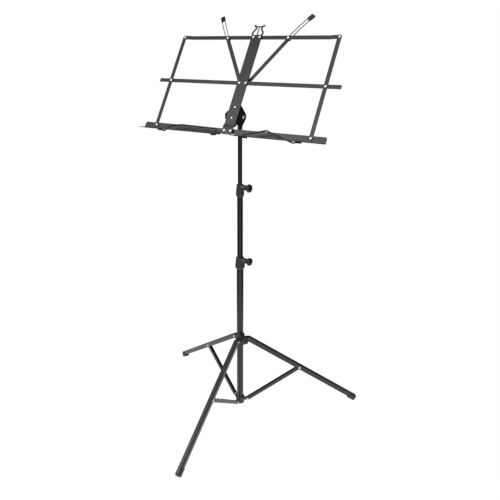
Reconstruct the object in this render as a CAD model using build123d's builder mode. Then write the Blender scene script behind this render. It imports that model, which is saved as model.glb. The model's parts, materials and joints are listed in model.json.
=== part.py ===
from build123d import *
import os
from math import atan2, cos, degrees, radians, sin

os.makedirs("parts", exist_ok=True)

# Fits and sheet thicknesses, millimetres
plate = 1.2
spine_plate = 1.5
channel_wall = 1.2
layer_gap = 0.3
side_clearance = 0.3
pivot_clearance = 0.06
slide_clearance = 0.08

# Mast tubes
lower_tube_od = 18.4
middle_tube_od = 15.2
upper_tube_od = 11.2
tube_wall = 1.0
lower_tube_length = 432.7
middle_tube_length = 420.0
upper_tube_length = 415.0
mast_end_height = 8.3
middle_extension = 167.2
upper_extension = 170.1
bush_length = 14.0
bush_plug_length = 12.0
bush_plug_wall = 1.6

# Collars at the tops of the lower and middle tubes
collar_height = 32.8
collar_seat = 12.0
collar_top_wall = 2.0
collar_swell = 1.4
collar_bottom_bevel = 4.2
collar_belt = 7.0
collar_screw_height = 24.6
boss_diameter = 15.6
boss_end_diameter = 14.0
boss_length = 12.7

# Thumb screws
screw_diameter = 5.0
screw_grip = 9.0
shoe_diameter = 7.0
shoe_thickness = 2.2
nut_width = 8.0
nut_thickness = 4.0
nut_distance = 5.5
knob_diameter = 21.6
knob_length = 10.0
knob_neck_diameter = 13.2
knob_neck_length = 3.6
knob_lobes = 7
knob_scallop_radius = 4.0
knob_scallop_depth = 2.4
knob_edge = 1.2
knob_gap = 0.6

# Tripod
leg_azimuth = 36.0
leg_count = 3
leg_spread = 56.84
leg_pin_radius = 21.9
leg_pin_distance = 180.3
leg_length = 382.2
leg_width = 12.2
leg_web_height = 8.6
leg_open_depth = 5.2
leg_shoulder = 3.0
leg_corner = 3.6
brace_pin_height = 18.6
brace_width = 8.8
brace_depth = 9.6
brace_fork = 8.0
pin_diameter = 4.0
pin_head_diameter = 6.6
pin_head_height = 1.3
leg_hub_radius = 12.8
leg_hub_height = 27.5
leg_hub_below_pin = 11.0
leg_lug_radius = 6.0
hub_screw_rise = 8.0
hub_screw_turn = 66.0
hub_boss_length = 10.6
hub_knob_diameter = 26.0
bottom_hub_radius = 12.4
bottom_hub_height = 22.0
bottom_lug_radius = 4.0
foot_grip = 18.0
foot_wall = 1.6
foot_sole = 2.6
foot_end = 4.0

# Tilt joint
desk_tilt = 31.57
tilt_axis_up_spine = 53.4
tilt_axis_behind_spine = 33.0
tilt_head_width = 16.4
tilt_head_radius = 9.0
tilt_neck_radius = 6.6
tilt_neck_foot_radius = 6.2
tilt_neck_length = 30.0
tilt_tube_gap = 14.0
tilt_flange_radius = 13.0
tilt_lobe_radius = 12.0
tilt_lobe_drop = 18.0
tilt_lobe_forward = 4.0
tilt_bracket_low = 25.8
tilt_bracket_high = 72.3
tilt_bracket_root = 9.0
tilt_bolt_diameter = 5.0
tilt_bolt_head_diameter = 9.0
tilt_bolt_head_height = 2.4
tilt_washer_diameter = 11.0
tilt_knob_sleeve = 16.0
tilt_knob_sleeve_diameter = 11.0
tilt_knob_diameter = 24.0
tilt_knob_length = 12.0

# Desk frame: rows of rivets up the spine, and rivet columns across it
mid_row = 127.6
top_row = 252.6
spine_column = 9.05
side_column = 221.6
arm_pin_column = 87.0
spine_width = 30.0
spine_corner = 8.0
spine_foot_step = 3.0
spine_foot_drop = 10.0
spine_foot_corner = 2.5
spine_bend_low = 11.5
spine_bend_high = 18.5
spine_top_margin = 5.5
bracket_rivet_low = 34.0
bracket_rivet_high = 62.8
bar_width = 10.0
mid_bar_overhang = 38.0
link_width = 10.2
top_bar_joggle_start = 15.0
top_bar_joggle_run = 8.0
rivet_diameter = 4.0
rivet_head_diameter = 6.4
rivet_head_height = 1.1
bracket_rivet_head_diameter = 5.2
link_rivet_diameter = 3.6
closing_head_height = 0.9
head_taper = 0.6
drill_depth = 40.0

# Ledges that the music stands on
ledge_overhang = 38.0
wall_up = 6.2
wall_down = 10.2
ledge_bend_radius = 1.6
shelf_depth = 22.0
shelf_droop = 18.0
shelf_start = 20.0
ledge_corner = 4.0

# Page arms with their slots and tips
arm_width = 10.0
arm_slot_width = 6.4
arm_slot_start = 143.0
arm_slot_end = 211.0
arm_straight = 150.0
arm_length = 226.0
arm_bow_radius = 321.0
arm_lead = 0.6
arm_pin_diameter = 3.0
arm_pin_head_diameter = 6.0
arm_pin_travel = 5.4
arm_pin_stop_diameter = 8.8
arm_tip_length = 16.5
arm_tip_wall = 1.2
arm_tip_side = 0.6
arm_tip_end = 3.0
arm_tip_corner = 1.6

# Page wires
wire_diameter = 3.6
wire_bend_radius = 2.4
wire_pivot_depth = 12.0
wire_lean = 15.0
wire_slot_length = 38.0
wire_slot_width = 6.4
wire_inner_slot_length = 16.0

# Lyre on top of the spine
lyre_height = 28.0
lyre_base_half_width = 6.5
lyre_bulge_half_width = 13.0
lyre_bulge_height = 9.0
lyre_neck_half_width = 7.6
lyre_neck_height = 18.5
lyre_tip_half_width = 12.6
lyre_horn_width = 4.2
lyre_curl_radius = 2.6
lyre_yoke_height = 23.0
lyre_string_width = 2.2

STANDING = (Align.CENTER, Align.CENTER, Align.MIN)


def finish(piece, name):
    """Label a finished piece and write it under its own name."""
    piece.part.label = name
    export_step(piece.part, f"parts/{name}.step")


# Heights up the mast
leg_rise = 90.0 - leg_spread
hub_pin_height = brace_pin_height + 2 * leg_pin_distance * sin(radians(leg_rise))
lower_tube_top = mast_end_height + lower_tube_length
lower_collar_bottom = lower_tube_top - collar_seat
upper_collar_bottom = lower_collar_bottom + collar_height + middle_extension
middle_tube_top = upper_collar_bottom + collar_seat
middle_tube_bottom = middle_tube_top - middle_tube_length
tilt_height = upper_collar_bottom + collar_height + upper_extension
upper_tube_top = tilt_height - tilt_tube_gap
upper_tube_bottom = upper_tube_top - upper_tube_length
leg_azimuths = [leg_azimuth + 360.0 / leg_count * index for index in range(leg_count)]
leg_names = ["right", "back", "front"]


def radial_plane(azimuth, radius, height, rise):
    """Give the upright plane of one leg, its x axis rising outwards by an angle."""
    outward = Vector(cos(radians(azimuth)), sin(radians(azimuth)), 0)
    along = outward * cos(radians(rise)) + Vector(0, 0, sin(radians(rise)))
    sideways = (sin(radians(azimuth)), -cos(radians(azimuth)), 0)
    return Plane(origin=outward * radius + Vector(0, 0, height), x_dir=along, z_dir=sideways)


# The desk leans back about the tilt axis: x to the right, y up the spine, z out of its front
desk_up = Vector(0, sin(radians(desk_tilt)), cos(radians(desk_tilt)))
desk_front = Vector(0, -cos(radians(desk_tilt)), sin(radians(desk_tilt)))
desk_origin = Vector(0, 0, tilt_height) - desk_up * tilt_axis_up_spine
desk_origin = desk_origin + desk_front * tilt_axis_behind_spine
desk = Plane(origin=desk_origin, x_dir=(1, 0, 0), z_dir=desk_front)


def on_desk(x, up, out):
    """Give a place on the desk: to the right, up the spine and out of its front face."""
    return desk.location * Location((x, up, out))


def desk_section(x):
    """Give the plane across the desk at x, with axes up the spine and out of its front."""
    return Plane(origin=on_desk(x, 0, 0).position, x_dir=desk_up, z_dir=(1, 0, 0))


def rivet_hole(x, up, radius):
    """Drill through every layer of the desk."""
    with Locations(on_desk(x, up, 0)):
        Cylinder(radius, drill_depth, mode=Mode.SUBTRACT)


def disc(x, up, low, high, radius):
    """Add a disc of a rivet between two levels of the desk's layers."""
    with Locations(on_desk(x, up, low)):
        Cylinder(radius, high - low, align=STANDING)


def domed_head(x, up, low, height, radius):
    """Add a rivet head that narrows towards the front."""
    with Locations(on_desk(x, up, low)):
        Cone(radius, radius * head_taper, height, align=STANDING)


# Levels of the desk's layers, counted out of the spine's front face
spine_back = -spine_plate
link_back = -(spine_plate + plate) / 2
link_front = link_back + plate
mid_bar_back = spine_back - layer_gap - plate
mid_bar_front = mid_bar_back + plate
wall_back = mid_bar_back
wall_front = mid_bar_front
foot_back = spine_back + spine_foot_step
top_bar_back = mid_bar_back - layer_gap - plate
top_bar_front = top_bar_back + plate
arm_front = top_bar_back - 2 * layer_gap - closing_head_height
arm_back = arm_front - plate

# Mast tubes, each in the bore of the one below
lower_tube_r = lower_tube_od / 2
middle_tube_r = middle_tube_od / 2
upper_tube_r = upper_tube_od / 2

with BuildPart() as lower_tube:
    with BuildSketch(Plane.XY.offset(mast_end_height)):
        Circle(lower_tube_r)
        Circle(lower_tube_r - tube_wall, mode=Mode.SUBTRACT)
    extrude(amount=lower_tube_length)
finish(lower_tube, "lower_tube")

with BuildPart() as middle_tube:
    with BuildSketch(Plane.XY.offset(middle_tube_bottom)):
        Circle(middle_tube_r)
        Circle(middle_tube_r - tube_wall, mode=Mode.SUBTRACT)
    extrude(amount=middle_tube_length)
finish(middle_tube, "middle_tube")

with BuildPart() as upper_tube:
    with BuildSketch(Plane.XY.offset(upper_tube_bottom)):
        Circle(upper_tube_r)
        Circle(upper_tube_r - tube_wall, mode=Mode.SUBTRACT)
    extrude(amount=upper_tube_length)
finish(upper_tube, "upper_tube")

# Guide bushes: a collar that runs in the outer tube and a plug that the inner tube turns on
bushes = [
    ("middle_bush", middle_tube_bottom, lower_tube_r, middle_tube_r),
    ("upper_bush", upper_tube_bottom, middle_tube_r, upper_tube_r),
]
for bush_name, tube_bottom, outer_r, inner_r in bushes:
    plug_r = inner_r - tube_wall - slide_clearance
    with BuildPart() as bush:
        with BuildSketch(Plane.XY.offset(tube_bottom - layer_gap)):
            Circle(outer_r - tube_wall - slide_clearance)
        extrude(amount=-bush_length)
        with BuildSketch(Plane.XY.offset(tube_bottom - layer_gap)):
            Circle(plug_r)
        extrude(amount=bush_plug_length)
        with BuildSketch(Plane.XY.offset(tube_bottom - layer_gap - bush_length)):
            Circle(plug_r - bush_plug_wall)
        extrude(amount=bush_length + bush_plug_length, mode=Mode.SUBTRACT)
    finish(bush, bush_name)

# Each clamp: name, mast radius it grips, height, direction that its screw points, boss and knob
hub_screw_height = hub_pin_height + hub_screw_rise
hub_screw_azimuth = leg_azimuth - hub_screw_turn
clamps = [
    ("lower", middle_tube_r, lower_collar_bottom + collar_screw_height, 0.0, boss_length, knob_diameter),
    ("upper", upper_tube_r, upper_collar_bottom + collar_screw_height, 0.0, boss_length, knob_diameter),
    ("hub", lower_tube_r, hub_screw_height, hub_screw_azimuth, hub_boss_length, hub_knob_diameter),
]


def clamp_plane(height, azimuth):
    """Give the plane across a thumb screw's axis, through the mast."""
    outward = (cos(radians(azimuth)), sin(radians(azimuth)), 0)
    return Plane(origin=(0, 0, height), x_dir=(0, 0, 1), z_dir=outward)


def boss(axis, length):
    """Add a clamp's boss, from the mast's axis outwards."""
    with Locations(axis.location):
        Cone(boss_diameter / 2, boss_end_diameter / 2, length, align=STANDING)


def boss_bore(axis, depth, radius):
    """Drill a clamp's boss from the mast outwards."""
    with Locations(axis.location):
        Cylinder(radius, depth, align=STANDING, mode=Mode.SUBTRACT)


# Collars, seated on their tubes, with a boss for the thumb screw
collars = [
    ("lower_collar", lower_collar_bottom, lower_tube_r, middle_tube_r, clamps[0]),
    ("upper_collar", upper_collar_bottom, middle_tube_r, upper_tube_r, clamps[1]),
]
for collar_name, bottom, seat_r, bore_r, clamp in collars:
    belt_r = seat_r * collar_swell
    neck_r = bore_r + collar_top_wall
    axis = clamp_plane(clamp[2], clamp[3])
    with BuildPart() as collar:
        with BuildSketch(Plane.XZ):
            with BuildLine():
                Polyline(
                    (0, bottom),
                    (seat_r + tube_wall, bottom),
                    (belt_r, bottom + collar_bottom_bevel),
                    (belt_r, bottom + collar_bottom_bevel + collar_belt),
                    (neck_r + tube_wall, bottom + collar_height - tube_wall),
                    (neck_r, bottom + collar_height),
                    (0, bottom + collar_height),
                    close=True,
                )
            make_face()
        revolve(axis=Axis.Z)
        boss(axis, bore_r + boss_length)
        with BuildSketch(Plane.XY.offset(bottom)):
            Circle(bore_r + slide_clearance)
        extrude(amount=collar_height, mode=Mode.SUBTRACT)
        with BuildSketch(Plane.XY.offset(bottom)):
            Circle(seat_r)
        extrude(amount=collar_seat, mode=Mode.SUBTRACT)
        boss_bore(axis, bore_r + nut_distance, shoe_diameter / 2 + pivot_clearance)
        boss_bore(axis, bore_r + boss_length, screw_diameter / 2 + layer_gap)
        with BuildSketch(axis.offset(bore_r + nut_distance)):
            RegularPolygon(nut_width / 2, 6, major_radius=False)
        extrude(amount=nut_thickness, mode=Mode.SUBTRACT)
    finish(collar, collar_name)

# Leg hub: slides on the lower tube and carries the legs' upper pins
hub_axis = clamp_plane(clamps[2][2], clamps[2][3])
leg_lug_width = leg_width - 2 * channel_wall - 2 * side_clearance
with BuildPart() as leg_hub:
    with BuildSketch(Plane.XY.offset(hub_pin_height - leg_hub_below_pin)):
        Circle(leg_hub_radius)
    extrude(amount=leg_hub_height)
    chamfer(leg_hub.edges().group_by(Axis.Z)[-1], tube_wall)
    chamfer(leg_hub.edges().group_by(Axis.Z)[0], tube_wall)
    for azimuth in leg_azimuths:
        with BuildSketch(radial_plane(azimuth, 0, hub_pin_height, 0)):
            with Locations((leg_pin_radius / 2, 0)):
                Rectangle(leg_pin_radius, 2 * leg_lug_radius)
            with Locations((leg_pin_radius, 0)):
                Circle(leg_lug_radius)
        extrude(amount=leg_lug_width / 2, both=True)
    boss(hub_axis, lower_tube_r + hub_boss_length)
    with BuildSketch(Plane.XY.offset(hub_pin_height - leg_hub_below_pin)):
        Circle(lower_tube_r + slide_clearance)
    extrude(amount=leg_hub_height, mode=Mode.SUBTRACT)
    boss_bore(hub_axis, lower_tube_r + nut_distance, shoe_diameter / 2 + pivot_clearance)
    boss_bore(hub_axis, lower_tube_r + hub_boss_length, screw_diameter / 2 + layer_gap)
    with BuildSketch(hub_axis.offset(lower_tube_r + nut_distance)):
        RegularPolygon(nut_width / 2, 6, major_radius=False)
    extrude(amount=nut_thickness, mode=Mode.SUBTRACT)
    for azimuth in leg_azimuths:
        with BuildSketch(radial_plane(azimuth, leg_pin_radius, hub_pin_height, 0)):
            Circle(pin_diameter / 2)
        extrude(amount=leg_width, both=True, mode=Mode.SUBTRACT)
finish(leg_hub, "leg_hub")

# Bottom hub: fixed to the end of the lower tube, carries the braces' lower pins
bottom_lug_width = brace_width - 2 * channel_wall - 2 * side_clearance
bottom_hub_low = brace_pin_height - bottom_hub_height / 2
with BuildPart() as bottom_hub:
    with BuildSketch(Plane.XY.offset(bottom_hub_low)):
        Circle(bottom_hub_radius)
    extrude(amount=bottom_hub_height)
    chamfer(bottom_hub.edges().group_by(Axis.Z)[-1], tube_wall)
    chamfer(bottom_hub.edges().group_by(Axis.Z)[0], tube_wall)
    for azimuth in leg_azimuths:
        with BuildSketch(radial_plane(azimuth, 0, brace_pin_height, 0)):
            with Locations((leg_pin_radius / 2, 0)):
                Rectangle(leg_pin_radius, 2 * bottom_lug_radius)
            with Locations((leg_pin_radius, 0)):
                Circle(bottom_lug_radius)
        extrude(amount=bottom_lug_width / 2, both=True)
    with BuildSketch(Plane.XY.offset(mast_end_height)):
        Circle(lower_tube_r)
    extrude(amount=bottom_hub_height, mode=Mode.SUBTRACT)
    for azimuth in leg_azimuths:
        with BuildSketch(radial_plane(azimuth, leg_pin_radius, brace_pin_height, 0)):
            Circle(pin_diameter / 2)
        extrude(amount=brace_width, both=True, mode=Mode.SUBTRACT)
finish(bottom_hub, "bottom_hub")


def pin_across(plane, grip):
    """Add a headed pin along a plane's normal, its heads just clear of what it grips."""
    half = grip / 2 + side_clearance / 2
    with Locations(plane.location):
        Cylinder(pin_diameter / 2, 2 * half)
    with Locations(plane.location * Location((0, 0, half))):
        Cone(pin_head_diameter / 2, pin_diameter / 2, pin_head_height, align=STANDING)
    with Locations(plane.location * Location((0, 0, -half), (180, 0, 0))):
        Cone(pin_head_diameter / 2, pin_diameter / 2, pin_head_height, align=STANDING)


with BuildPart() as leg_hub_pins:
    for azimuth in leg_azimuths:
        pin_across(radial_plane(azimuth, leg_pin_radius, hub_pin_height, 0), leg_width)
finish(leg_hub_pins, "leg_hub_pins")

with BuildPart() as bottom_hub_pins:
    for azimuth in leg_azimuths:
        pin_across(radial_plane(azimuth, leg_pin_radius, brace_pin_height, 0), brace_width)
finish(bottom_hub_pins, "bottom_hub_pins")

# Legs, braces, their pins and rubber feet, round the mast
leg_inner = leg_width - 2 * channel_wall
brace_inner = brace_width - 2 * channel_wall
leg_depth = leg_web_height + leg_open_depth
leg_mid = (leg_web_height - leg_open_depth) / 2
for leg_name, azimuth in zip(leg_names, leg_azimuths):
    leg_plane = radial_plane(azimuth, leg_pin_radius, hub_pin_height, -leg_rise)
    brace_plane = radial_plane(azimuth, leg_pin_radius, brace_pin_height, leg_rise)
    knee = leg_plane.location * Location((leg_pin_distance, 0, 0))

    with BuildPart() as leg:
        with BuildSketch(leg_plane):
            Circle(leg_open_depth)
            with Locations(((leg_shoulder + leg_length) / 2, leg_mid)):
                Rectangle(leg_length - leg_shoulder, leg_depth)
            make_hull()
        extrude(amount=leg_width / 2, both=True)
        web_edges = leg.edges().filter_by(Axis((0, 0, 0), leg_plane.x_dir))
        fillet(web_edges.sort_by(Axis((0, 0, 0), leg_plane.y_dir))[-2:], leg_corner)
        with BuildSketch(leg_plane.offset(-leg_inner / 2)):
            with Locations((leg_length / 2, leg_web_height - channel_wall - leg_depth)):
                Rectangle(2 * leg_length, 2 * leg_depth)
        hollow = extrude(amount=leg_inner, mode=Mode.PRIVATE)
        hollow_edges = hollow.edges().filter_by(Axis((0, 0, 0), leg_plane.x_dir))
        hollow_web = hollow_edges.sort_by(Axis((0, 0, 0), leg_plane.y_dir))[-2:]
        add(hollow.fillet(leg_corner - channel_wall, hollow_web), mode=Mode.SUBTRACT)
        with BuildSketch(leg_plane):
            with Locations((0, 0), (leg_pin_distance, 0)):
                Circle(pin_diameter / 2 + pivot_clearance)
        extrude(amount=leg_width, both=True, mode=Mode.SUBTRACT)
    finish(leg, f"leg_{leg_name}")

    with BuildPart() as foot:
        with BuildSketch(leg_plane):
            foot_middle = leg_length + (foot_end - foot_grip) / 2
            with Locations((foot_middle, leg_mid + (foot_wall - foot_sole) / 2)):
                Rectangle(foot_grip + foot_end, leg_depth + foot_wall + foot_sole)
        extrude(amount=leg_width / 2 + foot_wall, both=True)
        foot_edges = foot.edges().filter_by(Axis((0, 0, 0), leg_plane.x_dir))
        fillet(foot_edges.sort_by(Axis((0, 0, 0), leg_plane.y_dir))[-2:], leg_corner + foot_wall)
        foot_nose = foot.faces().sort_by(Axis((0, 0, 0), leg_plane.x_dir))[-1]
        fillet(foot_nose.edges().sort_by(Axis((0, 0, 0), leg_plane.y_dir))[1:], foot_wall)
        with BuildSketch(leg_plane.offset(-leg_width / 2)):
            with Locations((leg_length - foot_grip / 2, leg_mid)):
                Rectangle(foot_grip, leg_depth)
        cavity = extrude(amount=leg_width, mode=Mode.PRIVATE)
        cavity_edges = cavity.edges().filter_by(Axis((0, 0, 0), leg_plane.x_dir))
        cavity_web = cavity_edges.sort_by(Axis((0, 0, 0), leg_plane.y_dir))[-2:]
        add(cavity.fillet(leg_corner, cavity_web), mode=Mode.SUBTRACT)
        split(bisect_by=Plane.XY, keep=Keep.TOP)
    finish(foot, f"foot_{leg_name}")

    with BuildPart() as brace:
        with BuildSketch(brace_plane):
            with Locations((leg_pin_distance / 2, 0)):
                SlotCenterToCenter(leg_pin_distance, brace_depth)
        extrude(amount=brace_width / 2, both=True)
        with BuildSketch(brace_plane):
            with Locations((leg_pin_distance / 2, channel_wall)):
                Rectangle(2 * leg_pin_distance, brace_depth)
            with Locations((0, 0)):
                Rectangle(2 * brace_fork, 2 * brace_depth)
        extrude(amount=brace_inner / 2, both=True, mode=Mode.SUBTRACT)
        with BuildSketch(brace_plane):
            Circle(pin_diameter / 2 + pivot_clearance)
            with Locations((leg_pin_distance, 0)):
                Circle(pin_diameter / 2)
        extrude(amount=brace_width, both=True, mode=Mode.SUBTRACT)
    finish(brace, f"brace_{leg_name}")

    with BuildPart() as brace_pin:
        pin_across(Plane(knee), leg_width)
        for direction in (1, -1):
            spacer_start = brace_width / 2
            spacer_length = (leg_inner - brace_width) / 2 - side_clearance
            with Locations(knee * Location((0, 0, direction * (spacer_start + spacer_length / 2)))):
                Cylinder(pin_head_diameter / 2, spacer_length)
    finish(brace_pin, f"brace_pin_{leg_name}")

# Thumb screws: shoe, nut, screw and knob of each clamp
for clamp_name, grip_r, height, azimuth, boss_reach, knob_width in clamps:
    axis = clamp_plane(height, azimuth)
    shoe_back = grip_r + slide_clearance + shoe_thickness
    nut_start = grip_r + nut_distance
    knob_start = grip_r + boss_reach + knob_gap
    scallop_r = knob_width / 2 + knob_scallop_radius - knob_scallop_depth

    with BuildPart() as shoe:
        with BuildSketch(axis):
            Circle(shoe_diameter / 2)
        extrude(amount=shoe_back)
        with BuildSketch(Plane.XY.offset(height)):
            Circle(grip_r + slide_clearance)
        extrude(amount=shoe_diameter, both=True, mode=Mode.SUBTRACT)
    finish(shoe, f"{clamp_name}_shoe")

    with BuildPart() as nut:
        with BuildSketch(axis.offset(nut_start)):
            RegularPolygon(nut_width / 2, 6, major_radius=False)
            Circle(screw_diameter / 2 + pivot_clearance, mode=Mode.SUBTRACT)
        extrude(amount=nut_thickness)
    finish(nut, f"{clamp_name}_nut")

    with BuildPart() as screw:
        with BuildSketch(axis.offset(shoe_back)):
            Circle(screw_diameter / 2)
        extrude(amount=knob_start + screw_grip - shoe_back)
    finish(screw, f"{clamp_name}_screw")

    with BuildPart() as knob:
        with BuildSketch(axis.offset(knob_start)):
            Circle(knob_neck_diameter / 2)
        extrude(amount=knob_neck_length)
        with BuildSketch(axis.offset(knob_start + knob_neck_length)):
            Circle(knob_width / 2)
            with PolarLocations(scallop_r, knob_lobes):
                Circle(knob_scallop_radius, mode=Mode.SUBTRACT)
        extrude(amount=knob_length)
        chamfer(knob.faces().sort_by(Axis((0, 0, 0), axis.z_dir))[-1].edges(), knob_edge)
        with BuildSketch(axis.offset(knob_start)):
            Circle(screw_diameter / 2)
        extrude(amount=screw_grip, mode=Mode.SUBTRACT)
    finish(knob, f"{clamp_name}_knob")

# Mast head: plugged on the upper tube, carries the tilt bolt
tilt_axis = Plane(origin=(0, 0, tilt_height), x_dir=(0, 1, 0), z_dir=(1, 0, 0))
with BuildPart() as mast_head:
    with Locations((0, 0, tilt_height - tilt_neck_length)):
        Cone(tilt_neck_foot_radius, tilt_neck_radius, tilt_neck_length, align=STANDING)
    with BuildSketch(tilt_axis):
        Circle(tilt_head_radius)
    extrude(amount=tilt_head_width / 2, both=True)
    with BuildSketch(Plane.XY.offset(tilt_height - tilt_neck_length)):
        Circle(upper_tube_r)
    extrude(amount=tilt_neck_length - tilt_tube_gap, mode=Mode.SUBTRACT)
    with BuildSketch(tilt_axis):
        Circle(tilt_bolt_diameter / 2 + pivot_clearance)
    extrude(amount=tilt_head_width, both=True, mode=Mode.SUBTRACT)
finish(mast_head, "mast_head")

# Tilt bracket: a plate riveted behind the spine, with two flanges either side of the mast head
flange_in = tilt_head_width / 2 + side_clearance
flange_out = flange_in + spine_plate
bracket_front = mid_bar_back - layer_gap
bracket_back = bracket_front - spine_plate
bracket_middle = (tilt_bracket_low + tilt_bracket_high) / 2
bracket_height = tilt_bracket_high - tilt_bracket_low
lobe_up = tilt_axis_up_spine - tilt_lobe_drop
lobe_out = tilt_lobe_forward - tilt_axis_behind_spine
with BuildPart() as tilt_bracket:
    with BuildSketch(desk.offset(bracket_back)):
        with Locations((0, bracket_middle)):
            Rectangle(2 * flange_out, bracket_height)
    extrude(amount=spine_plate)
    for flange_start in (-flange_out, flange_in):
        with BuildSketch(desk_section(flange_start)):
            with Locations((tilt_axis_up_spine, -tilt_axis_behind_spine)):
                Circle(tilt_flange_radius)
            with Locations((lobe_up, lobe_out)):
                Circle(tilt_lobe_radius)
            with Locations((bracket_middle, bracket_front - tilt_bracket_root / 2)):
                Rectangle(bracket_height, tilt_bracket_root)
            make_hull()
        extrude(amount=spine_plate)
    with BuildSketch(tilt_axis):
        Circle(tilt_bolt_diameter / 2)
    extrude(amount=2 * flange_out, both=True, mode=Mode.SUBTRACT)
    for rivet_up in (bracket_rivet_low, bracket_rivet_high):
        rivet_hole(0, rivet_up, rivet_diameter / 2)
finish(tilt_bracket, "tilt_bracket")

washer_start = flange_out
washer_end = washer_start + plate
sleeve_end = washer_end + tilt_knob_sleeve
with BuildPart() as tilt_bolt:
    with BuildSketch(tilt_axis.offset(-sleeve_end)):
        Circle(tilt_bolt_diameter / 2)
    extrude(amount=sleeve_end + flange_out)
    with Locations(tilt_axis.offset(flange_out).location):
        Cone(tilt_bolt_head_diameter / 2, tilt_bolt_diameter / 2, tilt_bolt_head_height, align=STANDING)
finish(tilt_bolt, "tilt_bolt")

with BuildPart() as tilt_washer:
    with BuildSketch(tilt_axis.offset(-washer_end)):
        Circle(tilt_washer_diameter / 2)
        Circle(tilt_bolt_diameter / 2 + pivot_clearance, mode=Mode.SUBTRACT)
    extrude(amount=plate)
finish(tilt_washer, "tilt_washer")

with BuildPart() as tilt_knob:
    with BuildSketch(tilt_axis.offset(-washer_end)):
        Circle(tilt_knob_sleeve_diameter / 2)
    extrude(amount=-tilt_knob_sleeve)
    with BuildSketch(tilt_axis.offset(-sleeve_end)):
        tilt_scallop_r = tilt_knob_diameter / 2 + knob_scallop_radius - knob_scallop_depth
        Circle(tilt_knob_diameter / 2)
        with PolarLocations(tilt_scallop_r, knob_lobes - 1):
            Circle(knob_scallop_radius, mode=Mode.SUBTRACT)
    extrude(amount=-tilt_knob_length)
    chamfer(tilt_knob.faces().sort_by(Axis.X)[0].edges(), knob_edge)
    with BuildSketch(tilt_axis.offset(-washer_end)):
        Circle(tilt_bolt_diameter / 2 + pivot_clearance)
    extrude(amount=-tilt_knob_sleeve - layer_gap, mode=Mode.SUBTRACT)
finish(tilt_knob, "tilt_knob")

# Spine plate with the lyre standing on its top
spine_top = top_row + spine_top_margin
lyre_top = spine_top + lyre_height
with BuildPart() as spine:
    with BuildSketch(desk.offset(spine_back)) as spine_outline:
        with Locations((0, (spine_top + spine_bend_high) / 2)):
            Rectangle(spine_width, spine_top - spine_bend_high)
        fillet(spine_outline.vertices().group_by(Axis.Y)[-1], spine_corner)
        for side in (-1, 1):
            with BuildLine():
                Spline(
                    (side * lyre_base_half_width, spine_top - lyre_horn_width),
                    (side * lyre_bulge_half_width, spine_top + lyre_bulge_height),
                    (side * lyre_neck_half_width, spine_top + lyre_neck_height),
                    (side * lyre_tip_half_width, lyre_top - lyre_curl_radius),
                )
            trace(line_width=lyre_horn_width)
            with Locations((side * lyre_tip_half_width, lyre_top - lyre_curl_radius)):
                Circle(lyre_curl_radius)
        with Locations((0, spine_top + lyre_yoke_height)):
            Rectangle(2 * lyre_tip_half_width, lyre_string_width)
        with Locations((0, spine_top + lyre_yoke_height / 2)):
            Rectangle(lyre_string_width, lyre_yoke_height + lyre_string_width)
    extrude(amount=spine_plate)
    with BuildSketch(desk_section(0)):
        with BuildLine():
            Polyline(
                (spine_bend_high + spine_corner, spine_back / 2),
                (spine_bend_high, spine_back / 2),
                (spine_bend_low, spine_back / 2 + spine_foot_step),
                (-spine_foot_drop, spine_back / 2 + spine_foot_step),
            )
        trace(line_width=spine_plate)
    extrude(amount=spine_width / 2, both=True)
    spine_corners = spine.edges().filter_by(Axis((0, 0, 0), desk_front))
    fillet(spine_corners.sort_by(Axis((0, 0, 0), desk_up))[:2], spine_foot_corner)
    for side in (-1, 1):
        for rivet_up in (0, mid_row, top_row):
            rivet_hole(side * spine_column, rivet_up, rivet_diameter / 2)
    for rivet_up in (bracket_rivet_low, bracket_rivet_high):
        rivet_hole(0, rivet_up, rivet_diameter / 2)
finish(spine, "spine")

rivet_r = rivet_diameter / 2
head_r = rivet_head_diameter / 2
with BuildPart() as spine_rivets:
    for side in (-1, 1):
        column = side * spine_column
        ledge_closing = wall_back - layer_gap
        disc(column, 0, ledge_closing, spine_foot_step, rivet_r)
        domed_head(column, 0, spine_foot_step, rivet_head_height, head_r)
        disc(column, 0, wall_front + layer_gap, foot_back, head_r)
        disc(column, 0, ledge_closing - closing_head_height, ledge_closing, head_r)

        arm_closing = arm_back - layer_gap
        disc(column, mid_row, arm_closing, 0, rivet_r)
        domed_head(column, mid_row, 0, rivet_head_height, head_r)
        disc(column, mid_row, arm_front + layer_gap, mid_bar_back - layer_gap, head_r)
        disc(column, mid_row, arm_closing - closing_head_height, arm_closing, head_r)

        bar_closing = top_bar_back - layer_gap
        disc(column, top_row, bar_closing, 0, rivet_r)
        domed_head(column, top_row, 0, rivet_head_height, head_r)
        disc(column, top_row, top_bar_front + layer_gap, spine_back, head_r)
        disc(column, top_row, bar_closing - closing_head_height, bar_closing, head_r)
    for rivet_up in (bracket_rivet_low, bracket_rivet_high):
        disc(0, rivet_up, bracket_back, 0, rivet_r)
        disc(0, rivet_up, bracket_front, spine_back, bracket_rivet_head_diameter / 2)
        domed_head(0, rivet_up, 0, rivet_head_height, bracket_rivet_head_diameter / 2)
        disc(0, rivet_up, bracket_back - closing_head_height, bracket_back, bracket_rivet_head_diameter / 2)
finish(spine_rivets, "spine_rivets")

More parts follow.
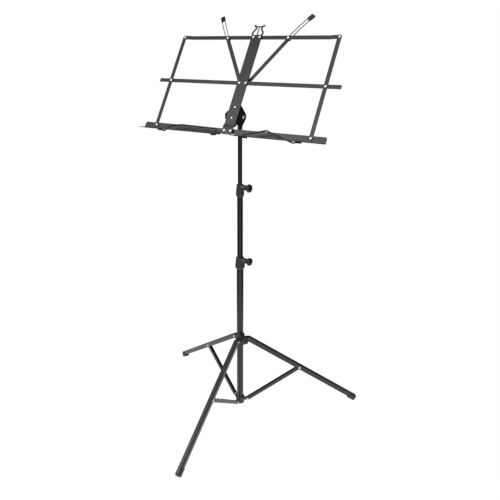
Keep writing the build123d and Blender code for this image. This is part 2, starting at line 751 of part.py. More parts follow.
# The two folding halves of the desk
fold_up = -wall_down
wall_middle = (wall_back + wall_front) / 2
shelf_normal = desk_up * cos(radians(shelf_droop)) + desk_front * sin(radians(shelf_droop))
shelf = Plane(origin=on_desk(0, fold_up, wall_middle).position, x_dir=(1, 0, 0), z_dir=shelf_normal)
wire_line = (shelf.location * Location((0, -wire_pivot_depth, 0))).position
wire_up = desk_up * cos(radians(wire_lean)) + desk_front * sin(radians(wire_lean))
wire_plane = Plane(origin=wire_line, x_dir=(1, 0, 0), z_dir=Vector(1, 0, 0).cross(wire_up))
link_rivet_r = link_rivet_diameter / 2
arm_pin_r = arm_pin_diameter / 2
arm_angle = degrees(atan2(arm_pin_column - spine_column, top_row - mid_row)) + arm_lead

# Page wires: points along the ledge and up from the shelf, ending in pivots under it
wire_under = -(plate / 2 + layer_gap + wire_diameter / 2)
wires = {
    "left": [
        (-39, wire_under),
        (-25.6, wire_under),
        (-25.6, 12.4),
        (-130, 14.3),
        (-152, 11.8),
        (-170, 6.0),
        (-183, -4.8),
        (-190, wire_under),
        (-204, wire_under),
    ],
    "right": [
        (64, wire_under),
        (50.4, wire_under),
        (50.4, 2.4),
        (113, 17.6),
        (186, -4.8),
        (193, wire_under),
        (206, wire_under),
    ],
}
wire_slots = {"left": (-31.0, -169.5), "right": (56.0, 169.5)}

for side_name, side in (("left", -1), ("right", 1)):
    with BuildPart() as top_bar:
        with BuildSketch(Plane(origin=on_desk(0, top_row, 0).position, x_dir=(1, 0, 0), z_dir=desk_up)):
            with BuildLine():
                joggle = side_column - top_bar_joggle_start
                Polyline(
                    (side * (spine_column - bar_width / 2), -(top_bar_back + plate / 2)),
                    (side * (joggle - top_bar_joggle_run), -(top_bar_back + plate / 2)),
                    (side * joggle, -(mid_bar_back + plate / 2)),
                    (side * (side_column + bar_width / 2), -(mid_bar_back + plate / 2)),
                )
            trace(line_width=plate)
        extrude(amount=bar_width / 2, both=True)
        with BuildSketch(desk.offset(top_bar_back)):
            with Locations((side * (spine_column + side_column) / 2, top_row)):
                SlotCenterToCenter(side_column - spine_column, bar_width)
        extrude(amount=mid_bar_front - top_bar_back, mode=Mode.INTERSECT)
        rivet_hole(side * spine_column, top_row, rivet_r + pivot_clearance)
        rivet_hole(side * side_column, top_row, link_rivet_r + pivot_clearance)
        rivet_hole(side * arm_pin_column, top_row, arm_pin_r)
    finish(top_bar, f"top_bar_{side_name}")

    with BuildPart() as mid_bar:
        with BuildSketch(desk.offset(mid_bar_back)):
            bar_end = side_column + mid_bar_overhang
            with Locations((side * (spine_column + bar_end) / 2, mid_row)):
                Rectangle(bar_end - spine_column, bar_width)
            with Locations((side * spine_column, mid_row)):
                Circle(bar_width / 2)
        extrude(amount=plate)
        rivet_hole(side * spine_column, mid_row, rivet_r + pivot_clearance)
        rivet_hole(side * side_column, mid_row, link_rivet_r + pivot_clearance)
    finish(mid_bar, f"mid_bar_{side_name}")

    ledge_end = side_column + ledge_overhang
    wire_inner, wire_outer = wire_slots[side_name]
    with BuildPart() as ledge:
        with BuildSketch(desk_section(side * shelf_start)):
            with BuildLine():
                FilletPolyline(
                    (wall_up, wall_middle),
                    (fold_up, wall_middle),
                    (
                        fold_up - shelf_depth * sin(radians(shelf_droop)),
                        wall_middle + shelf_depth * cos(radians(shelf_droop)),
                    ),
                    radius=ledge_bend_radius,
                )
            trace(line_width=plate)
        extrude(amount=side * (ledge_end - shelf_start))
        corner_edges = ledge.edges().filter_by(Axis((0, 0, 0), desk_front))
        wall_corner = on_desk(side * ledge_end, wall_up, wall_middle).position
        fillet(corner_edges.sort_by_distance(wall_corner)[0], ledge_corner)
        with BuildSketch(desk.offset(wall_back)):
            with Locations((side * (spine_column + shelf_start) / 2, 0)):
                Rectangle(shelf_start - spine_column, 2 * wall_up)
            with Locations((side * spine_column, 0)):
                Circle(wall_up)
        extrude(amount=plate)
        rivet_hole(side * spine_column, 0, rivet_r + pivot_clearance)
        rivet_hole(side * side_column, 0, link_rivet_r + pivot_clearance)
        with BuildSketch(shelf):
            with Locations((wire_inner, -wire_pivot_depth)):
                SlotOverall(wire_inner_slot_length, wire_slot_width)
            with Locations((wire_outer, -wire_pivot_depth)):
                SlotOverall(wire_slot_length, wire_slot_width)
        extrude(amount=plate, both=True, mode=Mode.SUBTRACT)
    finish(ledge, f"ledge_{side_name}")

    with BuildPart() as link:
        with BuildSketch(desk.offset(link_back)):
            with Locations((side * side_column, top_row / 2)):
                SlotCenterToCenter(top_row, link_width, rotation=90)
        extrude(amount=plate)
        for rivet_up in (0, mid_row, top_row):
            rivet_hole(side * side_column, rivet_up, link_rivet_r)
    finish(link, f"link_{side_name}")

    with BuildPart() as link_rivets:
        column = side * side_column
        bar_closing = mid_bar_back - layer_gap
        for rivet_up in (0, mid_row, top_row):
            disc(column, rivet_up, bar_closing, link_front, link_rivet_r)
            domed_head(column, rivet_up, link_front, rivet_head_height, head_r)
            disc(column, rivet_up, bar_closing - closing_head_height, bar_closing, head_r)
    finish(link_rivets, f"link_rivets_{side_name}")

    arm_along = Vector(side * sin(radians(arm_angle)), 0, 0) + desk_up * cos(radians(arm_angle))
    arm_pivot = on_desk(side * spine_column, mid_row, 0).position
    arm_plan = Plane(origin=arm_pivot, x_dir=arm_along, z_dir=desk_front)
    arm_side = Plane(origin=arm_pivot, x_dir=arm_along, z_dir=arm_along.cross(desk_front))
    arm_middle = (arm_front + arm_back) / 2
    bow = degrees((arm_length - arm_straight) / arm_bow_radius)
    with BuildPart() as arm:
        with BuildSketch(arm_side):
            with BuildLine():
                shank = Line((-arm_width / 2, arm_middle), (arm_straight, arm_middle))
                JernArc(shank @ 1, shank % 1, arm_bow_radius, -bow)
            trace(line_width=plate)
        extrude(amount=arm_width / 2, both=True)
        with BuildSketch(arm_plan.offset(arm_back - arm_width)):
            with Locations((arm_length / 2, 0)):
                SlotCenterToCenter(arm_length, arm_width)
        extrude(amount=2 * arm_width, mode=Mode.INTERSECT)
        with BuildSketch(arm_plan.offset(arm_back - arm_width)):
            Circle(rivet_r + pivot_clearance)
            with Locations(((arm_slot_start + arm_slot_end) / 2, 0)):
                SlotOverall(arm_slot_end - arm_slot_start, arm_slot_width)
        extrude(amount=2 * arm_width, mode=Mode.SUBTRACT)
    finish(arm, f"arm_{side_name}")

    tip_start = arm_length + arm_tip_end - arm_tip_length
    tip_turn = radians(bow) * (tip_start + arm_tip_length / 2 - arm_straight) / (arm_length - arm_straight)
    tip_along = arm_along * cos(tip_turn) - desk_front * sin(tip_turn)
    tip_front = desk_front * cos(tip_turn) + arm_along * sin(tip_turn)
    tip_reach = arm_straight + arm_bow_radius * sin(tip_turn)
    tip_drop = arm_middle - arm_bow_radius * (1 - cos(tip_turn))
    tip_centre = (arm_plan.location * Location((tip_reach, 0, tip_drop))).position
    tip_plan = Plane(origin=tip_centre, x_dir=tip_along, z_dir=tip_front)
    tip_thick = plate + 2 * arm_tip_wall
    with BuildPart() as arm_tip:
        with BuildSketch(tip_plan):
            RectangleRounded(arm_tip_length, arm_width + 2 * arm_tip_side, arm_tip_corner)
        extrude(amount=tip_thick / 2, both=True)
        add(arm.part, mode=Mode.SUBTRACT)
    finish(arm_tip, f"arm_tip_{side_name}")

    with BuildPart() as arm_pin:
        column = side * arm_pin_column
        pin_stop = arm_back - arm_pin_travel - layer_gap
        disc(column, top_row, pin_stop, top_bar_front, arm_pin_r)
        domed_head(column, top_row, top_bar_front, rivet_head_height, arm_pin_head_diameter / 2)
        disc(column, top_row, pin_stop - closing_head_height, pin_stop, arm_pin_stop_diameter / 2)
    finish(arm_pin, f"arm_pin_{side_name}")

    with BuildPart() as page_wire:
        with BuildLine(wire_plane) as wire_path:
            FilletPolyline(*wires[side_name], radius=wire_bend_radius)
        with BuildSketch(Plane(origin=wire_path.line @ 0, z_dir=wire_path.line % 0)):
            Circle(wire_diameter / 2)
        sweep()
    finish(page_wire, f"page_wire_{side_name}")
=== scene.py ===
"""Looks of a folding music stand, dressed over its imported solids."""

import json
import logging
import math
from dataclasses import dataclass
from enum import Enum
from typing import Callable, Dict, List, Sequence, Tuple, Union

import bmesh
import bpy
from mathutils import Matrix, Vector


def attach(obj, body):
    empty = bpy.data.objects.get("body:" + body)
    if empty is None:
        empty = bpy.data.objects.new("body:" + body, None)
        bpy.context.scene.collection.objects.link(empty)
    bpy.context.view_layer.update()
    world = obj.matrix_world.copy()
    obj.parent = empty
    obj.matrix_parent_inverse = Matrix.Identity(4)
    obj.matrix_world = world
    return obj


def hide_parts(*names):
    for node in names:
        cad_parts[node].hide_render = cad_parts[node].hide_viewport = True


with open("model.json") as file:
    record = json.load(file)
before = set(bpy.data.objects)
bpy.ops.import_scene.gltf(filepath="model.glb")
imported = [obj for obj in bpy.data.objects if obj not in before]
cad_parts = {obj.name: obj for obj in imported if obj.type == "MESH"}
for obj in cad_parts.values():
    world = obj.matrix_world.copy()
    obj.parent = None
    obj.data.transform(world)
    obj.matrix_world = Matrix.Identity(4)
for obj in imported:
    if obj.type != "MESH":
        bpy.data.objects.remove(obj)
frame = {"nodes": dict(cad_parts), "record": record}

LOG = logging.getLogger("music_stand")
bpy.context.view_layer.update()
MM = 0.001

Colour = Tuple[float, float, float]
Ring = Tuple[float, float]
Collar = Tuple[float, float, float]
Profile = Tuple[Tuple[float, float], ...]
Input = Union["Term", float, Sequence[float]]
SIDES = {"left": -1, "right": 1}
LEGS = ("right", "back", "front")
UP = Vector((0, 0, 1))
TOUCH = 0.01 * MM

# Shares of the length and radius of a knob's neck, its lobed crown and the plug in its end
KNOB_NECK: Profile = ((0.55, 0.94), (1.0, 1.0))
KNOB_CROWN: Profile = (
    (0.12, 0.9),
    (0.24, 1.0),
    (0.8, 0.985),
    (0.94, 0.92),
    (1.0, 0.8),
    (0.98, 0.42),
)
KNOB_PLUG: Profile = ((1.0, 0.39), (1.0, 0.3), (0.45, 0.22), (0.3, 0.06))
# Shares of the height and radius of a rivet's flat closing head, from its end
CLOSING_HEAD: Profile = ((1.0, 0.82), (0.7, 0.96), (0.4, 1.0), (0.0, 1.0))
# Shares of the length and size of a foot cap's lip and of its body up to the nose
CAP_LIP: Profile = ((0.0, 1.0), (0.7, 1.0), (1.0, 0.985), (1.3, 0.93))
CAP_BODY: Profile = ((0.5, 0.93), (0.85, 0.96), (1.0, 0.97))
# Radius of each clamp's knob
CLAMP_KNOBS = {"lower": 10.8 * MM, "upper": 10.8 * MM, "hub": 13.0 * MM}
# How far the edges are broken on strips, channels and mouldings
STRIP_EDGE = 0.28 * MM
CHANNEL_EDGE = 0.35 * MM
MOULDED_EDGE = 0.7 * MM
# Name, place and power of each soft box
SOFT_BOXES = (
    ("key", (-1.3, -2.2, 2.4), 52.0),
    ("fill", (2.7, -1.5, 1.1), 12.0),
    ("overhead", (0.0, -1.0, 3.3), 20.0),
)


class Slot(Enum):
    """The stand's finishes, by the names that its record gives them."""

    TUBE = "tube_enamel"
    LEG = "leg_enamel"
    DESK = "desk_enamel"
    DARK = "dark_enamel"
    MOULDING = "black_moulding"
    KNOB = "knob_moulding"
    RUBBER = "foot_rubber"
    NICKEL = "nickel"


class Term:
    """One value of a shader, so that sums on it read as plain Python."""

    def __init__(self, graph: "Graph", socket: bpy.types.NodeSocket) -> None:
        """Hold the socket that gives the value, and the graph it is in."""
        self.graph = graph
        self.socket = socket

    def _math(self, operation: str, first: Input, second: Input) -> "Term":
        """Add one Math node."""
        return self.graph.add("ShaderNodeMath", {"operation": operation}, {0: first, 1: second})

    def __add__(self, other: Input) -> "Term":
        """Give self + other."""
        return self._math("ADD", self, other)

    def __radd__(self, other: Input) -> "Term":
        """Give other + self."""
        return self._math("ADD", other, self)

    def __sub__(self, other: Input) -> "Term":
        """Give self - other."""
        return self._math("SUBTRACT", self, other)

    def __rsub__(self, other: Input) -> "Term":
        """Give other - self."""
        return self._math("SUBTRACT", other, self)

    def __mul__(self, other: Input) -> "Term":
        """Give self * other."""
        return self._math("MULTIPLY", self, other)

    def __rmul__(self, other: Input) -> "Term":
        """Give other * self."""
        return self._math("MULTIPLY", other, self)

    def above(self, level: float, softness: float) -> "Term":
        """Give a mask that rises from 0 to 1 as the value passes a level.

        Args:
            level: The value at the middle of the rise.
            softness: How wide the rise is.

        Returns:
            The mask.
        """
        span = {1: level - softness / 2, 2: level + softness / 2, 3: 0.0, 4: 1.0}
        settings = {"interpolation_type": "SMOOTHSTEP"}
        return self.graph.add("ShaderNodeMapRange", settings, {0: self, **span})


class Graph:
    """The node tree of one material."""

    def __init__(self, name: str) -> None:
        """Start a material with its surface shader and output."""
        self.material = bpy.data.materials.new(name)
        self.material.use_nodes = True
        self.tree = self.material.node_tree
        self.tree.nodes.clear()
        self.shader = self.tree.nodes.new("ShaderNodeBsdfPrincipled")
        output = self.tree.nodes.new("ShaderNodeOutputMaterial")
        self.tree.links.new(self.shader.outputs[0], output.inputs[0])

    def add(
        self,
        kind: str,
        settings: Dict[str, object],
        inputs: Dict[Union[int, str], Input],
        output: int = 0,
    ) -> Term:
        """Add a node.

        Args:
            kind: The node's type.
            settings: Its properties, set before its sockets.
            inputs: Values or terms, by socket index or name.
            output: Which of its outputs to give back.

        Returns:
            The node's output as a term.
        """
        node = self.tree.nodes.new(kind)
        for key, value in settings.items():
            setattr(node, key, value)
        for key, value in inputs.items():
            self.feed(node.inputs[key], value)
        return Term(self, node.outputs[output])

    def feed(self, socket: bpy.types.NodeSocket, value: Input) -> None:
        """Link a term to a socket, or set a constant on it."""
        if isinstance(value, Term):
            self.tree.links.new(value.socket, socket)
        else:
            socket.default_value = value

    def surface(self, **inputs: Input) -> None:
        """Feed the surface shader, its sockets named with underscores for spaces."""
        for name, value in inputs.items():
            self.feed(self.shader.inputs[name.replace("_", " ")], value)

    def place(self, stretch: Sequence[float] = (1.0, 1.0, 1.0)) -> Term:
        """Give object coordinates, stretched along each axis."""
        coordinates = self.add("ShaderNodeTexCoord", {}, {}, output=3)
        return self.add("ShaderNodeMapping", {}, {"Vector": coordinates, "Scale": stretch})

    def noise(self, place: Term, per_metre: float, detail: float = 2.0) -> Term:
        """Give a cloudy value from 0 to 1.

        Args:
            place: The coordinates to draw it on.
            per_metre: How many clouds there are to a metre.
            detail: How many finer layers it has.

        Returns:
            The value.
        """
        inputs = {"Vector": place, "Scale": per_metre, "Detail": detail, "Roughness": 0.55}
        return self.add("ShaderNodeTexNoise", {}, inputs)

    def mix(self, mask: Term, low: Input, high: Input) -> Term:
        """Give a colour between two others.

        Args:
            mask: 0 for the first colour and 1 for the second.
            low: The first colour.
            high: The second colour.

        Returns:
            The colour between them.
        """
        settings = {"data_type": "RGBA"}
        return self.add("ShaderNodeMix", settings, {0: mask, 6: low, 7: high}, output=2)

    def bump(self, height: Term, strength: float, depth: float) -> Term:
        """Give a normal that is raised by a height.

        Args:
            height: The height, from 0 to 1.
            strength: How much of it shows.
            depth: How high 1 is, in metres.

        Returns:
            The bumped normal.
        """
        inputs = {"Strength": strength, "Distance": depth, "Height": height}
        return self.add("ShaderNodeBump", {}, inputs)


def rgba(colour: Colour) -> Tuple[float, float, float, float]:
    """Give a colour with full alpha."""
    return (*colour, 1.0)


def grey(level: float) -> Colour:
    """Give a grey."""
    return (level, level, level)


@dataclass(frozen=True)
class Enamel:
    """Stoved black enamel: a fine orange peel, faint clouding, and a few dull rubbed spots."""

    name: str
    dark: Colour
    light: Colour
    roughness: float
    peel_per_metre: float = 1400.0
    clouds_per_metre: float = 26.0
    rubs_per_metre: float = 70.0
    peel_depth: float = 0.03 * MM
    peel_strength: float = 0.2
    rub_colour: Colour = grey(0.06)
    rub_level: float = 0.68
    rub_softness: float = 0.2
    rub_share: float = 0.3
    rub_roughness: float = 0.2
    cloud_roughness: float = 0.12
    coat: float = 0.1
    coat_roughness: float = 0.3

    def material(self) -> bpy.types.Material:
        """Make the enamel's material."""
        graph = Graph(self.name)
        place = graph.place()
        clouds = graph.noise(place, self.clouds_per_metre, detail=4.0)
        peel = graph.noise(place, self.peel_per_metre)
        rubs = graph.noise(place, self.rubs_per_metre, detail=3.0)
        rubbed = rubs.above(self.rub_level, self.rub_softness) * self.rub_share
        uneven = (clouds - 0.5) * self.cloud_roughness
        paint = graph.mix(clouds, rgba(self.dark), rgba(self.light))
        graph.surface(
            Base_Color=graph.mix(rubbed, paint, rgba(self.rub_colour)),
            Roughness=self.roughness + uneven + rubbed * self.rub_roughness,
            Normal=graph.bump(peel, self.peel_strength, self.peel_depth),
            Specular_IOR_Level=0.5,
            Coat_Roughness=self.coat_roughness,
            Coat_Weight=self.coat,
        )
        return graph.material


@dataclass(frozen=True)
class Moulding:
    """Black moulded plastic with a spark-eroded grain and a soft sheen."""

    name: str
    dark: Colour
    light: Colour
    roughness: float
    grain_per_metre: float = 2600.0
    clouds_per_metre: float = 60.0
    grain_depth: float = 0.03 * MM
    grain_strength: float = 0.4
    grain_roughness: float = 0.12
    worn_level: float = 0.62
    worn_softness: float = 0.2
    worn_polish: float = 0.1

    def material(self) -> bpy.types.Material:
        """Make the plastic's material."""
        graph = Graph(self.name)
        place = graph.place()
        clouds = graph.noise(place, self.clouds_per_metre, detail=3.0)
        grain = graph.noise(place, self.grain_per_metre, detail=3.0)
        worn = clouds.above(self.worn_level, self.worn_softness)
        uneven = (grain - 0.5) * self.grain_roughness
        graph.surface(
            Base_Color=graph.mix(clouds, rgba(self.dark), rgba(self.light)),
            Roughness=self.roughness + uneven - worn * self.worn_polish,
            Normal=graph.bump(grain, self.grain_strength, self.grain_depth),
            Specular_IOR_Level=0.5,
        )
        return graph.material


@dataclass(frozen=True)
class Rubber:
    """Matt black rubber that is dusty towards the floor."""

    name: str
    dark: Colour
    dust: Colour
    roughness: float = 0.5
    grain_per_metre: float = 1500.0
    grain_depth: float = 0.06 * MM
    grain_strength: float = 0.3
    grain_roughness: float = 0.16
    dust_height: float = 16.0 * MM
    dust_level: float = 0.45
    dust_softness: float = 0.3
    dust_share: float = 0.5

    def material(self) -> bpy.types.Material:
        """Make the rubber's material."""
        graph = Graph(self.name)
        place = graph.place()
        grain = graph.noise(place, self.grain_per_metre, detail=4.0)
        height = graph.add("ShaderNodeSeparateXYZ", {}, {0: place}, output=2)
        low = 1.0 - height.above(self.dust_height / 2, self.dust_height)
        dusty = low * grain.above(self.dust_level, self.dust_softness) * self.dust_share
        graph.surface(
            Base_Color=graph.mix(dusty, rgba(self.dark), rgba(self.dust)),
            Roughness=self.roughness + (grain - 0.5) * self.grain_roughness,
            Normal=graph.bump(grain, self.grain_strength, self.grain_depth),
            Specular_IOR_Level=0.45,
        )
        return graph.material


@dataclass(frozen=True)
class Nickel:
    """Bright nickel plate, faintly brushed; its near-white colour is partly a painted highlight,
    only half metallic so that it shows the heads' glint as lit diffuse colour.
    """

    name: str
    bright_and_painted_glint: Colour
    dull: Colour
    roughness: float = 0.2
    clouds_per_metre: float = 320.0
    cloud_roughness: float = 0.1
    brush_per_metre: float = 2400.0
    brush_stretch: Tuple[float, float, float] = (1.0, 0.12, 1.0)
    brush_roughness: float = 0.16
    brush_strength: float = 0.12
    brush_depth: float = 0.04 * MM
    # Only half metallic, so the near-white colour lights up as a painted highlight that stands in
    # for the heads' glint
    metallic: float = 0.45

    def material(self) -> bpy.types.Material:
        """Make the plating's material."""
        graph = Graph(self.name)
        place = graph.place()
        clouds = graph.noise(place, self.clouds_per_metre, detail=3.0)
        brush = graph.noise(graph.place(self.brush_stretch), self.brush_per_metre)
        brushed = (brush - 0.5) * self.brush_roughness
        graph.surface(
            Base_Color=graph.mix(clouds, rgba(self.bright_and_painted_glint), rgba(self.dull)),
            Roughness=self.roughness + brushed + (clouds - 0.5) * self.cloud_roughness,
            Metallic=self.metallic,
            Normal=graph.bump(brush, self.brush_strength, self.brush_depth),
        )
        return graph.material


FINISHES = {
    Slot.TUBE: Enamel("tube_enamel", grey(0.009), grey(0.013), roughness=0.3),
    Slot.LEG: Enamel("leg_enamel", grey(0.02), grey(0.027), roughness=0.36),
    Slot.DESK: Enamel("desk_enamel", grey(0.0095), grey(0.0135), roughness=0.43),
    Slot.DARK: Enamel("dark_enamel", grey(0.005), grey(0.008), roughness=0.4),
    Slot.MOULDING: Moulding("black_moulding", grey(0.034), grey(0.046), roughness=0.44),
    Slot.KNOB: Moulding("knob_moulding", grey(0.014), grey(0.02), roughness=0.4),
    Slot.RUBBER: Rubber("foot_rubber", grey(0.03), (0.075, 0.072, 0.07)),
    # The nickel's near-white colour, half metallic, is partly a painted highlight for the rivet
    # heads' glint
    Slot.NICKEL: Nickel("nickel", (0.95, 0.945, 0.93), (0.85, 0.845, 0.83)),
}


class Wardrobe:
    """Keeps one material for each finish and puts it on pieces."""

    def __init__(self) -> None:
        """Make every finish's material once."""
        self.materials = {slot: finish.material() for slot, finish in FINISHES.items()}
        rows = frame["record"]["subparts"]
        self.slots = {row["node"]: Slot(row["material_slot"]) for row in rows}

    def dress(self, piece: bpy.types.Object, slot: Slot) -> None:
        """Give a piece one finish all over."""
        piece.data.materials.clear()
        piece.data.materials.append(self.materials[slot])

    def dress_nodes(self) -> None:
        """Give every solid its own finish."""
        for node, slot in self.slots.items():
            solid = frame["nodes"][node]
            if not solid.material_slots:
                solid.data.materials.append(None)
            for holder in solid.material_slots:
                holder.material = self.materials[slot]


BODY_OF = {
    node: body for body, nodes in frame["record"]["behaviour"]["bodies"].items() for node in nodes
}
JOINTS = {joint["name"]: joint for joint in frame["record"]["behaviour"]["joints"]}


class Bench:
    """The workbench: small hand operations on one mesh at a time."""

    @staticmethod
    def clear() -> None:
        """Select nothing."""
        bpy.ops.object.select_all(action="DESELECT")

    @staticmethod
    def pick(piece: bpy.types.Object) -> None:
        """Select one piece alone and make it the active one."""
        Bench.clear()
        piece.select_set(True)
        bpy.context.view_layer.objects.active = piece

    @staticmethod
    def edit(piece: bpy.types.Object) -> None:
        """Open a piece in edit mode with nothing selected."""
        Bench.pick(piece)
        bpy.ops.object.mode_set(mode="EDIT")
        bpy.ops.mesh.select_all(action="DESELECT")

    @staticmethod
    def close() -> None:
        """Leave edit mode."""
        bpy.ops.object.mode_set(mode="OBJECT")

    @staticmethod
    def select(test: Callable[[Vector], bool], mode: str) -> None:
        """Select what lies in a place, in edit mode.

        Args:
            test: Says whether a vertex, or the middle of an edge or face, is wanted.
            mode: VERT, EDGE or FACE.
        """
        bpy.ops.mesh.select_mode(type=mode)
        bpy.ops.mesh.select_all(action="DESELECT")
        mesh = bmesh.from_edit_mesh(bpy.context.active_object.data)
        if mode == "VERT":
            for vertex in mesh.verts:
                vertex.select_set(test(vertex.co))
        elif mode == "FACE":
            for face in mesh.faces:
                face.select_set(test(face.calc_center_median()))
        else:
            for edge in mesh.edges:
                edge.select_set(test((edge.verts[0].co + edge.verts[1].co) / 2))
        mesh.select_flush_mode()
        bmesh.update_edit_mesh(bpy.context.active_object.data)

    @staticmethod
    def turned(name: str, rings: Sequence[Ring], sides: int) -> bpy.types.Object:
        """Turn a closed piece on +Z, by drawing a disc up through rings.

        Args:
            name: The piece's name.
            rings: Height and radius of each ring, from the bottom up.
            sides: How many sides it has.

        Returns:
            The piece, at the origin.
        """
        Bench.clear()
        height, radius = rings[0]
        bpy.ops.mesh.primitive_circle_add(
            vertices=sides, radius=radius, fill_type="NGON", location=(0, 0, height)
        )
        piece = bpy.context.active_object
        piece.name = name
        bpy.ops.object.transform_apply(location=True)
        bpy.ops.object.mode_set(mode="EDIT")
        bpy.ops.mesh.select_mode(type="FACE")
        bpy.ops.mesh.select_all(action="SELECT")
        Bench.draw(rings)
        bpy.ops.mesh.select_all(action="SELECT")
        bpy.ops.mesh.normals_make_consistent(inside=False)
        Bench.close()
        return piece

    @staticmethod
    def draw(rings: Sequence[Ring]) -> None:
        """Draw what is selected up +Z through rings, in edit mode.

        Args:
            rings: Height and size of each ring, the first of them where the selection is.
        """
        height, size = rings[0]
        for next_height, next_size in rings[1:]:
            step = {"value": (0, 0, next_height - height)}
            bpy.ops.mesh.extrude_region_move(TRANSFORM_OT_translate=step)
            factor = next_size / size
            bpy.ops.transform.resize(value=(factor, factor, 1), center_override=(0, 0, next_height))
            height, size = next_height, next_size

    @staticmethod
    def bevel(piece: bpy.types.Object, width: float, segments: int, angle: float) -> None:
        """Round a piece's sharp edges and apply it.

        Args:
            piece: The piece.
            width: How far the rounding reaches, in metres.
            segments: How many facets it has.
            angle: The least angle of a sharp edge, in degrees.
        """
        Bench.pick(piece)
        modifier = piece.modifiers.new("rounding", "BEVEL")
        modifier.width = width
        modifier.segments = segments
        modifier.limit_method = "ANGLE"
        modifier.angle_limit = math.radians(angle)
        modifier.use_clamp_overlap = True
        bpy.ops.object.modifier_apply(modifier=modifier.name)

    @staticmethod
    def smooth(piece: bpy.types.Object, angle: float) -> None:
        """Shade a piece smooth but for edges sharper than an angle in degrees."""
        Bench.pick(piece)
        bpy.ops.object.shade_smooth_by_angle(angle=math.radians(angle))

    @staticmethod
    def even(piece: bpy.types.Object) -> None:
        """Shade a piece's flats evenly, each corner's normal weighed by the size of its faces."""
        Bench.pick(piece)
        modifier = piece.modifiers.new("even_shading", "WEIGHTED_NORMAL")
        modifier.weight = 100
        modifier.keep_sharp = True
        bpy.ops.object.modifier_apply(modifier=modifier.name)

    @staticmethod
    def seat(piece: bpy.types.Object, place: Matrix) -> None:
        """Put a piece in its place, kept in its mesh."""
        Bench.pick(piece)
        piece.matrix_world = place
        bpy.ops.object.transform_apply(location=True, rotation=True, scale=True)

    @staticmethod
    def copy(piece: bpy.types.Object, place: Matrix) -> bpy.types.Object:
        """Copy a piece with its own mesh and put the copy in its place.

        Args:
            piece: What to copy.
            place: Where the copy goes.

        Returns:
            The copy.
        """
        twin = bpy.data.objects.new(piece.name, piece.data.copy())
        bpy.context.scene.collection.objects.link(twin)
        Bench.seat(twin, place)
        return twin

    @staticmethod
    def join(pieces: Sequence[bpy.types.Object], name: str) -> bpy.types.Object:
        """Join pieces into one object.

        Args:
            pieces: What to join.
            name: The joined object's name.

        Returns:
            The joined object.
        """
        Bench.clear()
        for piece in pieces:
            piece.select_set(True)
        bpy.context.view_layer.objects.active = pieces[0]
        bpy.ops.object.join()
        joined = bpy.context.active_object
        joined.name = name
        return joined

    @staticmethod
    def discard(piece: bpy.types.Object) -> None:
        """Throw a pattern away."""
        bpy.data.objects.remove(piece)


def upright(axis: Vector, origin: Vector, reference: Vector) -> Matrix:
    """Give the place of a piece whose +Z goes along an axis.

    Args:
        axis: Where the piece's +Z points.
        origin: Where its origin goes.
        reference: Roughly where its +X points.

    Returns:
        The place as a matrix.
    """
    z = axis.normalized()
    y = z.cross(reference).normalized()
    x = y.cross(z)
    place = Matrix((x, y, z)).transposed().to_4x4()
    place.translation = origin
    return place


def reach(node: str, axis: Vector) -> Tuple[float, float]:
    """Give how far a solid reaches along an axis from the origin.

    Args:
        node: The solid's name.
        axis: The axis to measure along.

    Returns:
        The least and the greatest reach, in metres.
    """
    spots = [vertex.co.dot(axis) for vertex in frame["nodes"][node].data.vertices]
    return min(spots), max(spots)


@dataclass
class Fitter:
    """Puts finished pieces on the stand: their finish, their body and the solids they stand for."""

    wardrobe: Wardrobe
    count: int = 0

    def fit(self, piece: bpy.types.Object, slot: Slot, *nodes: str) -> None:
        """Dress a piece and let it stand for solids of one body.

        Args:
            piece: The finished piece.
            slot: Its finish.
            nodes: The solids that it stands for.
        """
        self.wardrobe.dress(piece, slot)
        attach(piece, BODY_OF[nodes[0]])
        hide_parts(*nodes)
        self.count += 1
        LOG.info("fitted %s for %s", piece.name, ", ".join(nodes))


@dataclass
class BrokenEdges:
    """Pieces whose solids have the right shape and only need their edges broken."""

    fitter: Fitter
    nodes: Sequence[str]
    edge: float
    segments: int = 2
    sharp: float = 32.0
    flat: float = 1.5
    merge: float = 0.002 * MM

    def build(self) -> None:
        """Make each piece from a copy of its solid with its edges broken."""
        for node in self.nodes:
            self.break_edges(node)

    def break_edges(self, node: str) -> None:
        """Copy one solid, merge it and round its edges."""
        solid = frame["nodes"][node]
        piece = bpy.data.objects.new(f"{node}_edged", solid.data.copy())
        bpy.context.scene.collection.objects.link(piece)
        piece.data.materials.clear()
        Bench.pick(piece)
        if piece.data.has_custom_normals:
            bpy.ops.mesh.customdata_custom_splitnormals_clear()
        bpy.ops.object.mode_set(mode="EDIT")
        bpy.ops.mesh.select_all(action="SELECT")
        bpy.ops.mesh.remove_doubles(threshold=self.merge)
        bpy.ops.mesh.dissolve_limited(angle_limit=math.radians(self.flat))
        Bench.close()
        Bench.bevel(piece, self.edge, self.segments, self.sharp)
        Bench.smooth(piece, self.sharp)
        Bench.even(piece)
        self.fitter.fit(piece, self.fitter.wardrobe.slots[node], node)


